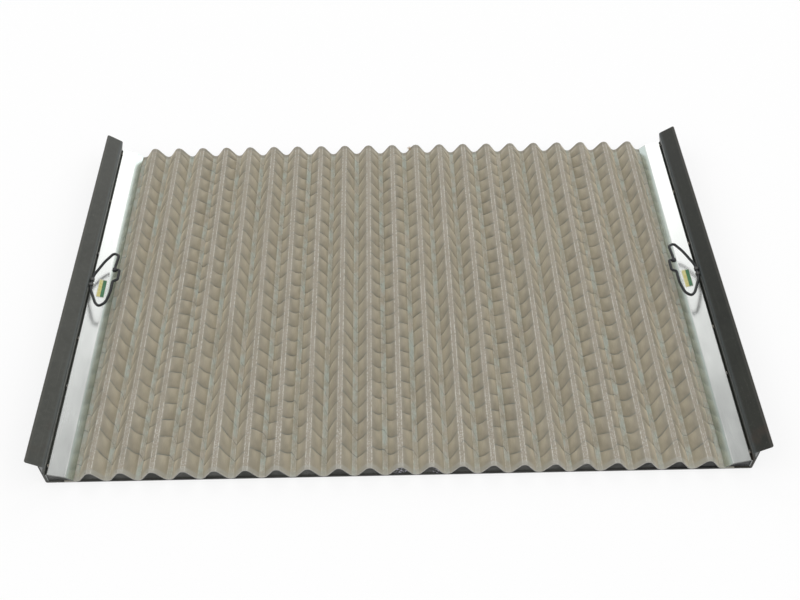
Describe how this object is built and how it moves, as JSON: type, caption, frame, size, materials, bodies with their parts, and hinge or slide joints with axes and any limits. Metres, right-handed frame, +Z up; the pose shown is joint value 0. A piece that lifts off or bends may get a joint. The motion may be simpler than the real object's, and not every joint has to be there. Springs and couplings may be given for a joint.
{
  "type": "corrugated shaker screen panel",
  "caption": "Corrugated hook-strip screen panel for a shale shaker, with raised side flanges, bright edge strips, sealed ridge ends and wire carrying loops.",
  "frame": {"origin": "middle of the panel on its flat underside", "axes": "+Z up through the screen; +X across the ridges, from one hook strip to the other; +Y along the ridges, away from the front edge"},
  "size_m": [1.053, 0.697, 0.0593],
  "materials": {
    "screen_cloth": "woven steel wire cloth in bonded layers, dull warm grey",
    "backing_cloth": "coarse woven steel wire cloth",
    "support_plate": "dark coated sheet steel",
    "hook_strip": "dark warm grey satin coating on folded steel",
    "edge_strip": "bright smooth folded metal strip",
    "seal": "black poured sealant, partly glossy",
    "cap": "mid-grey sealant",
    "wire_coating": "black plastic coating, slightly glossy",
    "clamp_steel": "dark coated steel",
    "weld": "bright small weld beads",
    "sticker": "plain printed sticker, green and pale yellow fields"
  },
  "bodies": {
    "root": {"support_plate": "support_plate", "backing_cloth": "backing_cloth", "screen_cloth": "screen_cloth", "front_plugs": "seal", "rear_plugs": "seal", "right_hook_strip": "hook_strip", "right_side_angle": "support_plate", "right_edge_strip": "edge_strip", "right_duct_plugs": "seal", "right_hook_caps": "cap", "right_weld_tacks": "weld", "right_carrying_loop": "wire_coating", "right_loop_crimp": "wire_coating", "right_loop_clamps": "clamp_steel", "right_sticker": "sticker", "left_hook_strip": "hook_strip", "left_side_angle": "support_plate", "left_edge_strip": "edge_strip", "left_duct_plugs": "seal", "left_hook_caps": "cap", "left_weld_tacks": "weld", "left_carrying_loop": "wire_coating", "left_loop_crimp": "wire_coating", "left_loop_clamps": "clamp_steel", "left_sticker": "sticker"}
  },
  "joints": []
}
